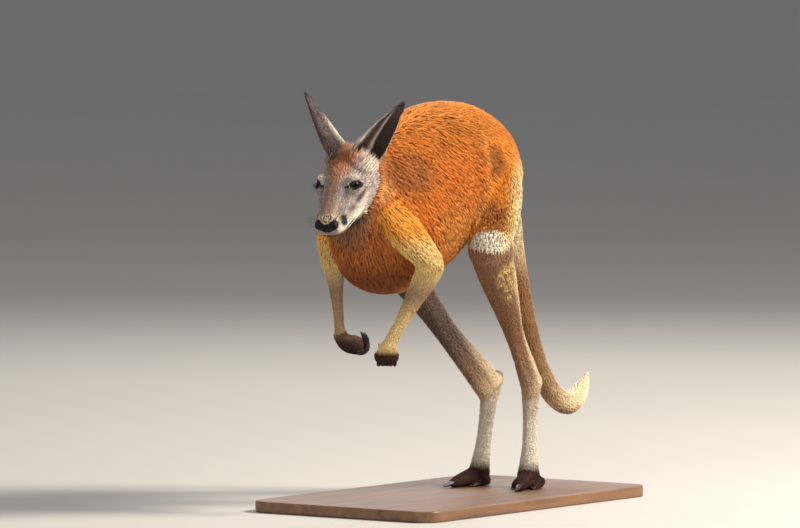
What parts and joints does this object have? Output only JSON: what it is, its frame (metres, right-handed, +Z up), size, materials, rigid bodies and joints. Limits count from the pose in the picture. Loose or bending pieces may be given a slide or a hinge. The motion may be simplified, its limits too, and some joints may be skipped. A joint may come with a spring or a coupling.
{
  "type": "red kangaroo model",
  "caption": "Still life-size model of a red kangaroo pushing off for a hop, heels raised, hands limp and tail hanging, on a flat wooden display base.",
  "frame": {"origin": "centre of the display base's underside", "axes": "+X the way the animal travels, +Y its left side, +Z up"},
  "size_m": [0.9456, 0.44, 0.8234],
  "materials": {
    "rufous_coat": "short, clumped rufous fur",
    "thigh_coat": "short brown-rufous fur",
    "cream_coat": "very short cream fur",
    "tail_coat": "short fur, brown above and cream below",
    "grey_coat": "very short lilac-grey fur",
    "ear_coat": "fine dark grey-brown fur",
    "dark_coat": "very short dark brown fur",
    "toe_skin": "dark skin with sparse bristles",
    "nose_skin": "moist black leathery skin",
    "eye": "polished, like a glass eye",
    "claw": "worn black horn",
    "base_wood": "satin-varnished board"
  },
  "bodies": {
    "root": {"trunk": "rufous_coat", "neck": "rufous_coat", "head": "grey_coat", "nose": "nose_skin", "eye_left": "eye", "ear_left": "ear_coat", "thigh_left": "thigh_coat", "shin_left": "cream_coat", "foot_left": "cream_coat", "toe_main_left": "toe_skin", "toe_outer_left": "toe_skin", "toe_inner_left": "toe_skin", "claw_main_left": "claw", "claw_outer_left": "claw", "claw_inner_a_left": "claw", "claw_inner_b_left": "claw", "upper_arm_left": "rufous_coat", "forearm_left": "cream_coat", "hand_left": "dark_coat", "finger_claw_1_left": "claw", "finger_claw_2_left": "claw", "finger_claw_3_left": "claw", "finger_claw_4_left": "claw", "finger_claw_5_left": "claw", "eye_right": "eye", "ear_right": "ear_coat", "thigh_right": "thigh_coat", "shin_right": "cream_coat", "foot_right": "cream_coat", "toe_main_right": "toe_skin", "toe_outer_right": "toe_skin", "toe_inner_right": "toe_skin", "claw_main_right": "claw", "claw_outer_right": "claw", "claw_inner_a_right": "claw", "claw_inner_b_right": "claw", "upper_arm_right": "rufous_coat", "forearm_right": "cream_coat", "hand_right": "dark_coat", "finger_claw_1_right": "claw", "finger_claw_2_right": "claw", "finger_claw_3_right": "claw", "finger_claw_4_right": "claw", "finger_claw_5_right": "claw", "tail_1": "tail_coat", "tail_2": "tail_coat", "tail_3": "tail_coat", "stand_base": "base_wood"}
  },
  "joints": []
}
